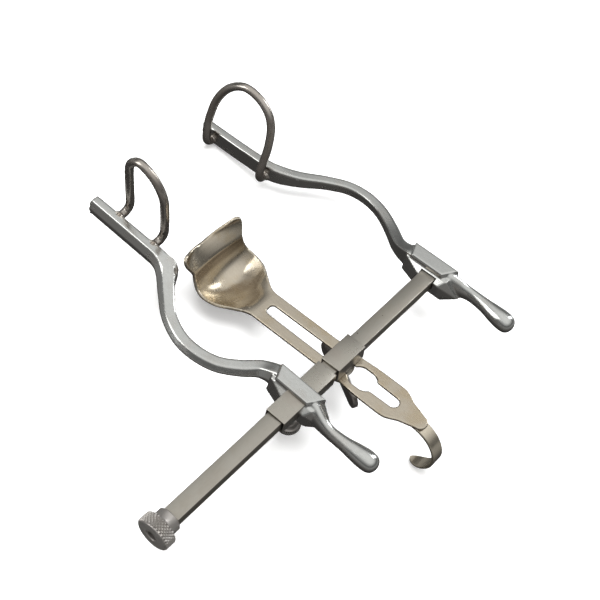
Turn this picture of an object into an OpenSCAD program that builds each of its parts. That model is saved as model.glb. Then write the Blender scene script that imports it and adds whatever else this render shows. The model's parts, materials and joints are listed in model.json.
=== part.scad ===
// Small self-retaining frame retractor of the Balfour pattern: a flat crossbar with a fixed arm, a
// sliding arm and a centre blade on a sliding clamp. It lies on a table with its blades upwards.
// Working axes: X along the crossbar towards the fixed arm, Y towards the blades, Z = 0 on the bar's top.

/* [Crossbar] */
// Length of the bar from the knob to its end inside the fixed arm
bar_len = 161; // [140:1:190]
// Width of the bar
bar_w = 7.2; // [6:0.2:9]
// Thickness of the bar
bar_t = 5; // [4:0.2:6]

/* [End knob] */
// Diameter over the knurl
knob_d = 14.6; // [12:0.2:18]
// Length of the knurled barrel
knob_len = 5.8; // [4:0.2:9]
// Diameter of the plain collar
collar_d = 10.4; // [9:0.2:12]
// Length of the plain collar
collar_len = 4.2; // [2:0.2:6]
// Diameter of the open hole in the knob's outer face
knob_bore = 4.4; // [3.8:0.1:6]
// Depth of the open hole
knob_bore_len = 4.2; // [3:0.1:5]

/* [Arms] */
// Centre of the sliding arm along the bar
left_x = 72.7; // [60:0.1:80]
// Centre of the fixed arm along the bar
right_x = 160.3; // [150:0.1:180]
// Reach of the fixed arm from the bar to the tip of its blade bar
arm_reach = 127.5; // [115:0.5:140]
// How much shorter the sliding arm is
left_short = 4.5; // [0:0.5:6]
// Length of a finger grip behind the bar
grip_len = 41; // [38:1:50]
// How far the sliding arm is cocked up on the bar
left_lift = 5; // [0:0.5:6]
// Height of the boss above the bar
boss_top = 3; // [2:0.5:4]
// Depth of the boss below the bar's top
boss_low = 11; // [9:0.5:12]

/* [Wire blades] */
// Diameter of the wire
wire_d = 3.8; // [3:0.1:4]
// Height of the sliding arm's wire blade above its bar
left_loop_h = 36; // [25:1:45]
// Height of the fixed arm's wire blade above its bar
right_loop_h = 40; // [25:1:45]

/* [Sliding arm sleeve] */
// Length of the sleeve
sleeve_len = 31.4; // [24:0.2:36]
// Wall of the sleeve
sleeve_wall = 0.8; // [0.6:0.1:1.2]
// Distance of the thumb screw from the arm's centre
screw_off = 3.6; // [3.6:0.1:4]

/* [Centre blade] */
// Centre of the clamp along the bar
clamp_x = 98.8; // [98:0.1:104]
// Length of the clamp along the bar
clamp_len = 16.6; // [14:0.2:18]
// Thickness of the blade's sheet
sheet = 1.4; // [1:0.1:2]
// Width of the blade's shank
shank_w = 15.6; // [14:0.2:18]
// Width of the long slot
slot_w = 4.9; // [4.6:0.1:6]
// Half width of the scoop
scoop_half = 16.2; // [14:0.2:20]

/* [Lie] */
// Slope of the bar's top to the table, at which the hook and the fixed arm's tip both rest on it
lie = 9.08; // [8.8:0.01:9.6]

/* [Hidden] */
$fn = 48;

steel = [0.62, 0.63, 0.62];
nickel = [0.71, 0.67, 0.58];
dark_steel = [0.40, 0.38, 0.36];

axis_z = -bar_t / 2;
run_gap = 0.06;
knob_gap = 0.3;
stud_w = 3.6;
stud_len = knob_gap + collar_len + knob_len - knob_bore_len;
mid_x = 84.0;
mid_y = 35.58;
tip_low = 8.07;
lie_z = (arm_reach - 1.5) * sin(lie) + tip_low * cos(lie);

// Sleeve bore: wide enough for the sliding arm to stand cocked on the bar
bore_w = bar_w * cos(left_lift) + bar_t * sin(left_lift) + 0.2;
bore_t = bar_t * cos(left_lift) + bar_w * sin(left_lift) + 0.2;
sleeve_w = bore_w + 2 * sleeve_wall;
sleeve_t = bore_t + 2 * sleeve_wall;
plank_w = 7.4;
hub_out = 6.7;
hub_y = 8;

// Thumb screw and clamp stack, measured down from the bar's top
disc_top = -17.8;
disc_t = 4;
disc_d = 10.6;
shank_d = 4;
clamp_wall = 0.9;
clamp_gap = 0.15;
clamp_w = bar_w + 2 * (clamp_gap + clamp_wall);
clamp_low = -bar_t - clamp_gap - 1;
blade_top = clamp_low - 0.1;
blade_low = blade_top - sheet;
washer_t = 1;
washer_d = 11;
nut_top = blade_low - washer_t - 0.2;
nut_h = 7;
nut_d = 7.6;
wing_r = 16.5;
wing_drop = 6.2;
wing_angle = 244;
stud_d = 4;
guide_len = 9;

// Rows of an arm's route from boss to bar tip: outwards, along, top, width, height
FIXED_ARM = [[0, 4, 2.6, 7.2, 13], [0, 12, 2.4, 6.8, 10.6], [2.2, 20.5, -0.8, 6, 7], [8.6, 30, -3.2, 5.6, 5.8],
    [13.4, 39.5, -4, 5.4, 5.2], [15.3, 49, -4.2, 5.4, 5.2], [14, 58.5, -4.2, 5.4, 5.2], [8.6, 68, -3.6, 5.6, 5.6],
    [1.4, 76.4, -2, 6, 6.6], [-4.2, 84, 0.4, 6, 8.2], [-6, 90, 1, 5.2, 9], [-6.3, 98, 1, 5, 9],
    [-6.5, 108, 1, 4.8, 9], [-6.5, arm_reach - 1.5, 1, 4.6, 9], [-6.5, arm_reach, 0.4, 3.4, 7.4]];
left_reach = arm_reach - left_short;
SLIDING_ARM = [[0, 4, 2.6, 7.2, 13], [0, 12, 2.4, 6.8, 10.6], [1.6, 19.4, -0.6, 6.2, 7], [6.6, 26, -2.6, 6, 5.8],
    [11.6, 34, -3.6, 5.8, 5.4], [13.8, 43.5, -4, 5.8, 5.2], [13.2, 53, -4, 5.8, 5.2], [9, 63, -3.6, 5.8, 5.6],
    [1.8, 71.6, -2.4, 6.6, 6.6], [-4.4, 78.4, -0.6, 7.6, 8], [-6.2, 84.6, 0.8, 6.2, 9], [-6.2, 92, 1, 5, 9],
    [-6.2, 106, 1, 4.8, 9], [-6.2, left_reach - 1.5, 1, 4.6, 9], [-6.2, left_reach, 0.4, 3.4, 7.4]];
// Rows of the grip's route: outwards, along, centre height, width, height
GRIP = [[0, -5, -3.6, 7.2, 12.6], [0.6, -9, -4, 6.6, 12.4], [2, -13.4, -4.6, 5.2, 9.4], [2.6, -18, -4.7, 4.8, 7.2],
    [2.4, -24, -4.7, 5.4, 6.8], [1.8, -29.4, -4.8, 7, 7.4], [1.4, -34, -4.9, 8, 8.2],
    [1.2, -grip_len + 2.6, -5, 7.6, 7.6], [1.2, -grip_len + 0.8, -5, 5.4, 5.4], [1.2, -grip_len, -5, 2.4, 2.4]];
shank_end = 42;
// Rows of the scoop from shank to lip: centre y, centre z, half width, edge y, edge z
SCOOP = [[shank_end, 0, shank_w / 2, shank_end, 0], [46, -0.7, 8.8, 46, 0], [50.5, -3, scoop_half - 4.6, 50.5, 0.6],
    [56, -5.4, scoop_half - 1.2, 56, 1.2], [62, -6.5, scoop_half, 62, 1.6], [67.2, -4.6, scoop_half - 0.9, 66, 3],
    [70.2, -0.8, scoop_half - 2, 68, 5.4], [71.4, 3.4, scoop_half - 2.8, 69, 8.2],
    [72.2, 7.2, scoop_half - 2.6, 69.6, 10.8], [75, 10.4, scoop_half + 0.6, 71, 15], [77, 12, scoop_half - 0.2, 72.4, 17.6]];

function unit(v) = v / norm(v);
function spline_at(a, b, c, d, t) =
    0.5 * (2 * b + (c - a) * t + (2 * a - 5 * b + 4 * c - d) * t * t + (3 * b - a - 3 * c + d) * t * t * t);
function row(p, i) = p[min(max(i, 0), len(p) - 1)];
// Smooth curve through rows of numbers, k steps between two rows
function smooth(p, k) = [for (i = [0 : len(p) - 2], j = [0 : k - 1])
    spline_at(row(p, i - 1), row(p, i), row(p, i + 1), row(p, i + 2), j / k), p[len(p) - 1]];
function heading(p, i) = unit(row(p, i + 1) - row(p, i - 1));

// Closed skin over rings that each have the same number of points
module skin(rings) {
    n = len(rings[0]);
    last = len(rings) - 1;
    polyhedron(
        points = [for (r = rings, q = r) q],
        faces = concat(
            [[for (j = [0 : n - 1]) j]],
            [for (i = [0 : last - 1], j = [0 : n - 1])
                [i * n + j, (i + 1) * n + j, (i + 1) * n + (j + 1) % n, i * n + (j + 1) % n]],
            [[for (j = [n - 1 : -1 : 0]) last * n + j]]),
        convexity = 8);
}

// Section of a forged arm: flat inner face, flat top, outer face bevelled under; side is 1 or -1
function arm_section(w, h, side) =
    let (c = min(w, h) * 0.16, s = [
        [-w / 2, -c], [-w / 2 + c, 0], [w / 2 - c, 0], [w / 2, -c], [w / 2, -0.5 * h],
        [w / 2 - 0.22 * w, -h + c], [w / 2 - 0.4 * w, -h], [-w / 2 + c, -h], [-w / 2, -h + c]])
    side > 0 ? s : [for (i = [8 : -1 : 0]) [-s[i][0], s[i][1]]];

function arm_ring(q, head, side) =
    let (across = unit([head[1], -head[0], 0]))
    [for (s = arm_section(q[3], q[4], side)) [q[0], q[1], q[2]] + across * s[0] + [0, 0, s[1]]];

// Arm and blade bar, swept in the working axes; side is 1 for the fixed arm, -1 for the sliding one
module arm_sweep(side) {
    rows = [for (q = smooth(side > 0 ? FIXED_ARM : SLIDING_ARM, 4)) [side * q[0], q[1], q[2], q[3], q[4]]];
    skin([for (i = [0 : len(rows) - 1]) arm_ring(rows[i], heading([for (q = rows) [q[0], q[1]]], i), side)]);
}

module grip_sweep(side) {
    rows = smooth(GRIP, 3);
    skin([for (q = rows) [for (a = [0 : 22.5 : 359])
        [side * q[0] + q[3] / 2 * cos(a), q[1], q[2] + q[4] / 2 * sin(a)]]]);
}

// Boss of an arm: a narrow plank on top, with a hub around the bar that bulges towards the knob
module boss() {
    hull() {
        translate([-plank_w / 2 + 0.6, -9, boss_top - 1]) cube([plank_w - 1.2, 20.5, 1]);
        translate([-plank_w / 2, -9.5, boss_top - 2]) cube([plank_w, 21.5, 0.6]);
        translate([-plank_w / 2, -8.5, -boss_low + 1]) cube([plank_w, 17, 1]);
    }
    hull() {
        translate([-plank_w / 2, -hub_y + 1.4, boss_top - 2]) cube([plank_w, 2 * hub_y + 1, 0.6]);
        translate([-hub_out, -hub_y + 2, -2]) cube([hub_out + plank_w / 2, 2 * hub_y - 0.6, 0.6]);
        translate([-hub_out, -hub_y + 2, -9]) cube([hub_out + plank_w / 2, 2 * hub_y - 1, 0.6]);
        translate([-hub_out + 1.6, -hub_y + 2.6, -boss_low]) cube([hub_out + plank_w / 2 - 2.2, 2 * hub_y - 3, 1]);
    }
}

module forging(side) {
    boss();
    arm_sweep(side);
    grip_sweep(side);
}

// Round wire along a curve
module wire(points, k) {
    path = smooth(points, k);
    skin([for (i = [0 : len(path) - 1])
        let (t = heading(path, i), e = unit(cross(t, [1, 1, -1])), f = cross(t, e))
        [for (a = [0 : 30 : 359]) path[i] + wire_d / 2 * (e * cos(a) + f * sin(a))]]);
}

// Box tube along X, centred on the bar
module box_tube(length, w, t, in_w, in_t, z) {
    translate([-length / 2, -w / 2, z - t / 2]) difference() {
        cube([length, w, t]);
        translate([-1, (w - in_w) / 2, (t - in_t) / 2]) cube([length + 2, in_w, in_t]);
    }
}

// Places a sub-part from the working axes onto the table
module on_table() {
    translate([-mid_x, -mid_y, lie_z]) rotate([-lie, 0, 0]) children();
}

// The sliding arm's own axes, cocked about the bar's centre line
module on_slide() {
    on_table() translate([left_x, 0, axis_z]) rotate([left_lift, 0, 0]) translate([0, 0, -axis_z]) children();
}

module crossbar() {
    color(steel) on_table() difference() {
        union() {
            translate([0, -bar_w / 2, -bar_t]) cube([bar_len, bar_w, bar_t]);
            translate([-stud_len, 0, axis_z]) rotate([0, 90, 0]) cylinder(d = stud_w, h = stud_len + 1);
        }
        translate([right_x - 1.5, 0, -bar_t - 1]) cylinder(d = 3, h = bar_t + 2);
    }
}

module end_knob() {
    color(dark_steel) on_table() translate([-knob_gap, 0, axis_z]) rotate([0, -90, 0]) difference() {
        union() {
            cylinder(d = collar_d, h = collar_len + 0.5);
            translate([0, 0, collar_len]) cylinder(d = knob_d, h = knob_len);
        }
        translate([0, 0, -1]) cylinder(d = stud_w + 2 * run_gap, h = collar_len + knob_len);
        translate([0, 0, collar_len + knob_len - knob_bore_len]) cylinder(d = knob_bore, h = knob_bore_len + 1);
    }
}

module left_arm() {
    color(steel) on_slide() difference() {
        forging(-1);
        translate([-20, -sleeve_w / 2, axis_z - sleeve_t / 2]) cube([40, sleeve_w, sleeve_t]);
        screw_hole();
    }
}

// Hole for the thumb screw, through the boss and the sleeve's lower wall
module screw_hole() {
    translate([-screw_off, 0, -boss_low - 1]) cylinder(d = shank_d + 2 * run_gap, h = boss_low - bar_t + 0.5);
}

module left_sleeve() {
    color(steel) on_slide() difference() {
        box_tube(sleeve_len, sleeve_w, sleeve_t, bore_w, bore_t, axis_z);
        screw_hole();
    }
}

module thumb_screw() {
    color(dark_steel) on_slide() translate([-screw_off, 0, 0]) {
        translate([0, 0, disc_top - disc_t]) cylinder(d = disc_d, h = disc_t);
        translate([0, 0, disc_top - 1]) cylinder(d = shank_d, h = axis_z - bore_t / 2 - 0.1 - disc_top + 1);
    }
}

module left_wire_blade() {
    x = 8.6;
    low = -0.6;
    color(steel) on_slide() wire([[x - 1.6, 109.4, low], [x + 1.4, 109.4, low], [x + 3.9, 109.3, low + 0.9],
        [x + 5.3, 109.1, low + 3.8], [x + 5.2, 109.1, 8], [x + 4.6, 109.2, 15], [x + 3.8, 109.4, 27],
        [x + 3.2, 108, left_loop_h - 3], [x + 3, 104, left_loop_h + 1.2], [x + 3, 99, left_loop_h + 0.8],
        [x + 3.2, 93.8, left_loop_h - 2.6], [x + 3.6, 90, left_loop_h - 9], [x + 4.2, 89, 18],
        [x + 4.8, 88.8, 9], [x + 5.1, 89, low + 4.2], [x + 3.8, 89.3, low + 1], [x + 1.4, 89.5, low],
        [x - 1.6, 89.6, low]], 3);
}

module clamp_box() {
    color(steel) on_table() translate([clamp_x, 0, 0]) difference() {
        translate([-clamp_len / 2, -clamp_w / 2, clamp_low]) cube([clamp_len, clamp_w, clamp_gap + clamp_wall - clamp_low]);
        translate([-clamp_len, -clamp_w / 2 + clamp_wall, -bar_t - clamp_gap])
            cube([2 * clamp_len, clamp_w - 2 * clamp_wall, bar_t + 2 * clamp_gap]);
    }
}

// Threaded stud with a square guide that runs in the blade's slot
module clamp_stud() {
    guide_w = slot_w - 0.6;
    color(dark_steel) on_table() translate([clamp_x, 0, 0]) {
        translate([-guide_w / 2, -guide_len / 2, blade_low + 0.1]) cube([guide_w, guide_len, clamp_low - blade_low - 0.1]);
        translate([0, 0, nut_top - nut_h + 1]) cylinder(d = stud_d, h = clamp_low - nut_top + nut_h - 1);
    }
}

module clamp_washer() {
    color(steel) on_table() translate([clamp_x, 0, blade_low - 0.1 - washer_t]) difference() {
        cylinder(d = washer_d, h = washer_t);
        translate([0, 0, -1]) cylinder(d = stud_d + 2 * run_gap, h = washer_t + 2);
    }
}

module wing() {
    hull() {
        translate([2.5, -1.6, -nut_h + 0.6]) cube([0.5, 3.2, nut_h - 1.2]);
        translate([wing_r - 3.4, 1.1, -wing_drop]) rotate([90, 0, 0]) cylinder(r = 3.4, h = 2.2, $fn = 32);
    }
}

module wing_nut() {
    color(dark_steel) on_table() translate([clamp_x, 0, nut_top]) difference() {
        union() {
            translate([0, 0, -nut_h]) cylinder(d = nut_d, h = nut_h);
            for (a = [0, 180]) rotate([0, 0, wing_angle + a]) wing();
        }
        translate([0, 0, -nut_h - 1]) cylinder(d = stud_d + 2 * run_gap, h = nut_h + 2);
    }
}

function scoop_point(q, u) =
    [u * q[2], q[0] + (q[3] - q[0]) * u * u, q[1] + (q[4] - q[1]) * pow(abs(u), 2.2)];

// Closed sheet between two grids of points, all in triangles
module sheet_skin(upper, lower) {
    n = len(upper[0]);
    last = len(upper) - 1;
    base = (last + 1) * n;
    function quad(a, b, c, d) = [[a, b, c], [a, c, d]];
    polyhedron(
        points = concat([for (r = upper, q = r) q], [for (r = lower, q = r) q]),
        faces = concat(
            [for (i = [0 : last - 1], j = [0 : n - 2], f = quad(
                i * n + j, (i + 1) * n + j, (i + 1) * n + j + 1, i * n + j + 1)) f],
            [for (i = [0 : last - 1], j = [0 : n - 2], f = quad(
                base + i * n + j, base + i * n + j + 1, base + (i + 1) * n + j + 1, base + (i + 1) * n + j)) f],
            [for (j = [0 : n - 2], f = quad(j, j + 1, base + j + 1, base + j)) f],
            [for (j = [0 : n - 2], f = quad(
                last * n + j, base + last * n + j, base + last * n + j + 1, last * n + j + 1)) f],
            [for (i = [0 : last - 1], f = quad(i * n, base + i * n, base + (i + 1) * n, (i + 1) * n)) f],
            [for (i = [0 : last - 1], f = quad(
                i * n + n - 1, (i + 1) * n + n - 1, base + (i + 1) * n + n - 1, base + i * n + n - 1)) f]),
        convexity = 8);
}

module scoop() {
    rows = smooth(SCOOP, 3);
    us = [for (j = [-7 : 7]) j / 7];
    mid = [for (q = rows) [for (u = us) scoop_point(q, u)]];
    last = len(mid) - 1;
    cols = len(us) - 1;
    function normal(i, j) = i == 0 ? [0, 0, 1] : unit(cross(
        mid[i][min(j + 1, cols)] - mid[i][max(j - 1, 0)], mid[min(i + 1, last)][j] - mid[max(i - 1, 0)][j]));
    sheet_skin(mid, [for (i = [0 : last]) [for (j = [0 : cols]) mid[i][j] - sheet * normal(i, j)]]);
}

module shank_outline() {
    half = shank_w / 2;
    neck = [[half, shank_end], [half, -6], [half + 0.5, -14], [half + 0.6, -27], [half - 1, -31], [6, -34],
        [4.4, -38], [3.2, -41]];
    difference() {
        union() {
            polygon(concat(neck, [for (i = [len(neck) - 1 : -1 : 0]) [-neck[i][0], neck[i][1]]]));
            translate([0, -41]) circle(r = 3.2);
        }
        hull() for (y = [shank_end - 2 - slot_w / 2, -27]) translate([0, y]) circle(d = slot_w);
        hull() for (y = [-9.5, -12.5]) translate([0, y]) circle(r = 4.9);
    }
}

module centre_blade() {
    color(nickel) on_table() translate([clamp_x, 0, blade_top]) {
        translate([0, 0, -sheet]) linear_extrude(height = sheet) shank_outline();
        scoop();
    }
}

module blade_hook() {
    r = 13.4;
    w = 6;
    color(steel) on_table() translate([clamp_x, 0, blade_low]) {
        translate([-w / 2, -39.4, -sheet]) cube([w, 5.4, sheet]);
        translate([-w / 2, -39, -r]) rotate([0, 90, 0]) half_turn(r, w);
    }
}

// Half turn of flat strip about the local Z axis
module half_turn(r, w) {
    difference() {
        cylinder(r = r, h = w, $fn = 96);
        translate([0, 0, -1]) cylinder(r = r - sheet, h = w + 2, $fn = 96);
        translate([-r - 1, 0, -1]) cube([2 * r + 2, r + 1, w + 2]);
    }
}

module right_arm() {
    color(steel) on_table() translate([right_x, 0, 0]) difference() {
        forging(1);
        translate([-20, -bar_w / 2, -bar_t]) cube([20 + bar_len - right_x, bar_w, bar_t]);
        translate([-1.5, 0, -boss_low - 1]) cylinder(d = 3, h = boss_low - bar_t + 2);
    }
}

module right_pin() {
    color(dark_steel) on_table() translate([right_x - 1.5, 0, -boss_low + 0.2])
        cylinder(d = 3, h = boss_low - 0.2);
}

module right_wire_blade() {
    x = -8.6;
    low = -5.4;
    color(steel) on_table() translate([right_x, 0, 0]) wire([[x + 1.6, 121, low], [x - 0.8, 121, low],
        [x - 3, 121, low + 1], [x - 4.2, 121, low + 3.8], [x - 4, 121, 4], [x - 3, 120.8, 11],
        [x - 1.2, 118.6, 22], [x + 0.6, 113.6, 31], [x + 2, 106.4, right_loop_h - 4.2],
        [x + 2.6, 99, right_loop_h - 5.2], [x + 2, 92.6, right_loop_h - 8.8], [x + 0.8, 89, 25.4],
        [x - 1, 87.8, 17], [x - 2.8, 88.2, 8], [x - 4, 88.8, 2], [x - 4, 89.1, low + 3.6],
        [x - 3, 89.3, low + 1], [x - 0.8, 89.4, low], [x + 1.6, 89.4, low]], 3);
}

crossbar();
end_knob();
left_arm();
left_sleeve();
left_wire_blade();
thumb_screw();
clamp_box();
clamp_stud();
clamp_washer();
wing_nut();
centre_blade();
blade_hook();
right_arm();
right_wire_blade();
right_pin();
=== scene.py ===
"""Small self-retaining frame retractor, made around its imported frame.

Working axes: X runs along the crossbar from the knob to the fixed arm, +Y to the wire blades, and Z = 0 is
the bar's top. Shapes are made there in millimetres, then laid on the table in metres."""

import json
import math

import bmesh
import bpy
from bpy.props import FloatProperty, FloatVectorProperty, IntProperty, PointerProperty
from bpy.types import Operator, Panel, PropertyGroup
from mathutils import Matrix, Vector


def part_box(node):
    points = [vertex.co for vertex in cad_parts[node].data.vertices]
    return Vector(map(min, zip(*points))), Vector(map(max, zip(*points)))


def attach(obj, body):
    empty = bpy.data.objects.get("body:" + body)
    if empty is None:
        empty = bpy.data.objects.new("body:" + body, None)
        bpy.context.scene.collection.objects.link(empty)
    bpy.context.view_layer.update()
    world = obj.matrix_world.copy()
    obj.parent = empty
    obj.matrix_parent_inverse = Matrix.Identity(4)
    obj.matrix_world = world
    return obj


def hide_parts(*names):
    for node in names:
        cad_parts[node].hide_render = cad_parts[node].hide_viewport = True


bl_info = {
    "name": "Frame Retractor",
    "version": (1, 0, 0),
    "blender": (4, 5, 0),
    "location": "View3D > Sidebar > Retractor",
    "description": "Builds a small self-retaining frame retractor with wire blades and a scoop blade",
    "category": "Object",
}

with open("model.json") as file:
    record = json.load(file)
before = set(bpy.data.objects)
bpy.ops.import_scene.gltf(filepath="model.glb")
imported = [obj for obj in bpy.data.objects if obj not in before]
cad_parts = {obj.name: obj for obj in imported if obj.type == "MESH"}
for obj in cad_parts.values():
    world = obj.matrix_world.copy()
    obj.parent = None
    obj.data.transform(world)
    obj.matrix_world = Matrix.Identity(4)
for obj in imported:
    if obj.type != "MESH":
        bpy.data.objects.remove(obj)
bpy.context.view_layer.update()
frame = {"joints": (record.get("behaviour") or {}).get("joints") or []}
MM = 0.001


# ---------------------------------------------------------------- sizes and colours

def length(name, description, millimetres):
    default = millimetres * MM
    return FloatProperty(name=name, description=description, default=default, min=0.0, unit="LENGTH")


def colour(name, description, value):
    return FloatVectorProperty(
        name=name, description=description, default=value, size=3, min=0.0, max=1.0, subtype="COLOR"
    )


class RetractorSizes(PropertyGroup):
    """Sizes of the retractor's pieces."""

    bar_length: length("Bar length", "Crossbar from the knob to its end in the fixed arm", 161)
    bar_width: length("Bar width", "Width of the crossbar", 7.2)
    bar_thickness: length("Bar thickness", "Thickness of the crossbar", 5)
    knob_diameter: length("Knob diameter", "Diameter over the knurl", 14.6)
    knob_length: length("Knob length", "Length of the knurled barrel", 5.8)
    collar_diameter: length("Collar diameter", "Diameter of the knob's plain collar", 10.4)
    collar_length: length("Collar length", "Length of the knob's plain collar", 4.2)
    knob_hole: length("Knob hole", "Diameter of the hole in the knob's face", 4.4)
    wire_diameter: length("Wire diameter", "Diameter of the blades' wire", 3.8)
    sleeve_length: length("Sleeve length", "Sliding arm's sleeve on the bar", 31.4)
    sleeve_wall: length("Sleeve wall", "Wall of the sliding arm's sleeve", 0.8)
    screw_diameter: length("Screw diameter", "Knurled head of the thumb screw", 10.6)
    sheet: length("Sheet", "Thickness of the centre blade's sheet", 1.4)
    shank_width: length("Shank width", "Width of the centre blade's shank", 15.6)
    slot_width: length("Slot width", "Width of the centre blade's slot", 4.9)
    scoop_half_width: length("Scoop half width", "Half width of the centre blade's scoop", 16.2)
    knurl_depth: length("Knurl depth", "Depth of the knurls", 0.4)
    forging_grid: length("Forging grid", "Grid that the forged surfaces are skinned on", 0.36)
    knurl_count: IntProperty(
        name="Knurls", description="Knurls around the end knob", default=32, min=12, max=90
    )


class RetractorFinishes(PropertyGroup):
    """Colours of the retractor's metals."""

    arm_steel: colour("Arm steel", "Satin forged arms", (0.61, 0.625, 0.615))
    bar_steel: colour("Bar steel", "Ground crossbar, sleeve and clamp", (0.40, 0.385, 0.345))
    wire_steel: colour("Wire steel", "Round wire of the blades", (0.50, 0.47, 0.435))
    blade_nickel: colour("Blade nickel", "Sheet of the centre blade", (0.60, 0.545, 0.45))
    knurl_steel: colour("Knurl steel", "Knurled knob and screw", (0.27, 0.255, 0.24))
    # Brown dirt; also laid into inner corners as dirt and painted shade
    grime_and_shade: colour("Grime", "Brown dirt in corners and grooves", (0.055, 0.042, 0.034))
    floor: colour("Floor", "Plain pale floor", (0.93, 0.935, 0.94))


def sizes():
    return bpy.context.scene.retractor_sizes


def finishes():
    return bpy.context.scene.retractor_finishes


def mm(value):
    return value / MM


# ---------------------------------------------------------------- fixed distances, in millimetres

BOSS_TOP = 3  # top of the arms' bosses, above the bar's top
BOSS_LOW = 11  # their underside, below the bar's top
PLANK = 3.7  # half the width of a boss's plank
HUB_OUT = 6.7  # how far the hub stands out
PIN_OFF = 1.5  # from the fixed arm's middle to its pin
SCREW_OFF = 3.6  # from the sliding arm's middle to its thumb screw
SCREW_TOP = -17.8
SCREW_THICK = 4
SHANK_RADIUS = 2.0
SHANK_HOLE = 2.06
BAR_FACE = 8.55  # where the wires leave the blade bars
CLAMP_GAP = 0.15
CLAMP_WALL = 0.9
CLAMP_LENGTH = 16.6
BLADE_TOP = -6.25
SHANK_END = 42
NUT_HEIGHT = 7


# ---------------------------------------------------------------- places, worked out from the frame

def joint_axis(name):
    return Vector(next(j["axis"] for j in frame["joints"] if j["name"] == name))


def lie_angle():
    """Slope of the crossbar's top to the table."""
    across = joint_axis("blade_slide")
    return math.atan2(-across.z, across.y)


def on_table():
    """From the working axes in millimetres to the table in metres."""
    low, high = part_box("crossbar")
    lie = lie_angle()
    up = Vector((0, math.sin(lie), math.cos(lie)))
    origin = (low + high) / 2 + up * sizes().bar_thickness / 2
    origin.x = high.x - sizes().bar_length
    return Matrix.Translation(origin) @ Matrix.Rotation(-lie, 4, "X") @ Matrix.Diagonal((MM, MM, MM, 1))


def along_bar(node):
    """Where the middle of a node lies along the crossbar, in working axes."""
    low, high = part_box(node)
    return mm((low.x + high.x) / 2 - on_table().translation.x)


def lift_angle():
    """How far the sliding arm is cocked up on the crossbar."""
    stem = joint_axis("arm_screw_turn")
    return lie_angle() - math.atan2(stem.y, stem.z)


def bar_middle():
    return -mm(sizes().bar_thickness) / 2


def on_slide():
    """From the sliding arm's own axes, which are cocked on the bar, to the table."""
    middle = bar_middle()
    return (
        on_table()
        @ Matrix.Translation((along_bar("left_sleeve"), 0, middle))
        @ Matrix.Rotation(lift_angle(), 4, "X")
        @ Matrix.Translation((0, 0, -middle))
    )


def on_fixed_arm():
    return on_table() @ Matrix.Translation((along_bar("right_pin") + PIN_OFF, 0, 0))


def on_clamp():
    return on_table() @ Matrix.Translation((along_bar("clamp_box"), 0, 0))


# ---------------------------------------------------------------- shapes, in millimetres

def spline_at(a, b, c, d, t):
    return [
        0.5 * (2 * q + (r - p) * t + (2 * p - 5 * q + 4 * r - s) * t * t + (3 * q - p - 3 * r + s) * t ** 3)
        for p, q, r, s in zip(a, b, c, d)
    ]


def smooth(rows, steps):
    """Smooth curve through rows of numbers, with this many steps between two rows."""
    last = len(rows) - 1
    at = lambda i: rows[min(max(i, 0), last)]
    curve = [
        spline_at(at(i - 1), at(i), at(i + 1), at(i + 2), j / steps)
        for i in range(last) for j in range(steps)
    ]
    return curve + [list(rows[-1])]


def heading(points, i):
    ahead = Vector(points[min(i + 1, len(points) - 1)])
    behind = Vector(points[max(i - 1, 0)])
    return (ahead - behind).normalized()


def skin(rings):
    """Closed skin over rings of equally many points."""
    n = len(rings[0])
    faces = [tuple(range(n)), tuple(reversed(range((len(rings) - 1) * n, len(rings) * n)))]
    for i in range(len(rings) - 1):
        for j in range(n):
            k = (j + 1) % n
            faces.append((i * n + j, (i + 1) * n + j, (i + 1) * n + k, i * n + k))
    return [p for ring in rings for p in ring], faces


def box_part(x0, x1, y0, y1, z0, z1):
    return skin([[(x, y0, z0), (x, y1, z0), (x, y1, z1), (x, y0, z1)] for x in (x0, x1)])


def turned(profile, segments):
    """One ring of points about Z for each (radius, height) of the profile."""
    angles = [math.tau * k / segments for k in range(segments)]
    return [[(r * math.cos(a), r * math.sin(a), z) for a in angles] for r, z in profile]


def lathe(profile, segments=96):
    """Solid turned about Z; profile holds (radius, height) from the bottom of the axis round to its top."""
    return skin(turned(profile, segments))


def ring_part(profile, segments=72):
    """Turned ring about Z, whose profile closes on itself."""
    n = len(profile)
    faces = []
    for i in range(n):
        this, following = i * segments, ((i + 1) % n) * segments
        for j in range(segments):
            k = (j + 1) % segments
            faces.append((this + j, following + j, following + k, this + k))
    return [p for ring in turned(profile, segments) for p in ring], faces


def hull_part(points):
    bm = bmesh.new()
    for p in points:
        bm.verts.new(p)
    bmesh.ops.convex_hull(bm, input=bm.verts)
    loose = [v for v in bm.verts if not v.link_faces]
    bmesh.ops.delete(bm, geom=loose, context="VERTS")
    bm.verts.index_update()
    part = [tuple(v.co) for v in bm.verts], [tuple(v.index for v in f.verts) for f in bm.faces]
    bm.free()
    return part


def slab(x, y, z):
    """Corners of a flat rectangle at height z; x and y are (low, high)."""
    return [(a, b, z) for a in x for b in y]


def moved(part, matrix):
    return [tuple(matrix @ Vector(p)) for p in part[0]], part[1]


def mesh_object(name, *parts):
    """Object from closed parts, with their faces outwards."""
    bm = bmesh.new()
    for points, faces in parts:
        made = [bm.verts.new(p) for p in points]
        for f in faces:
            bm.faces.new([made[i] for i in f])
    bmesh.ops.recalc_face_normals(bm, faces=bm.faces)
    mesh = bpy.data.meshes.new(name)
    bm.to_mesh(mesh)
    bm.free()
    obj = bpy.data.objects.new(name, mesh)
    bpy.context.scene.collection.objects.link(obj)
    return obj


def settle(obj):
    """Replaces the object's mesh by what its modifiers make of it."""
    bpy.context.view_layer.update()
    shape = obj.evaluated_get(bpy.context.evaluated_depsgraph_get())
    mesh = bpy.data.meshes.new_from_object(shape)
    obj.modifiers.clear()
    obj.data = mesh
    return obj


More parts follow.
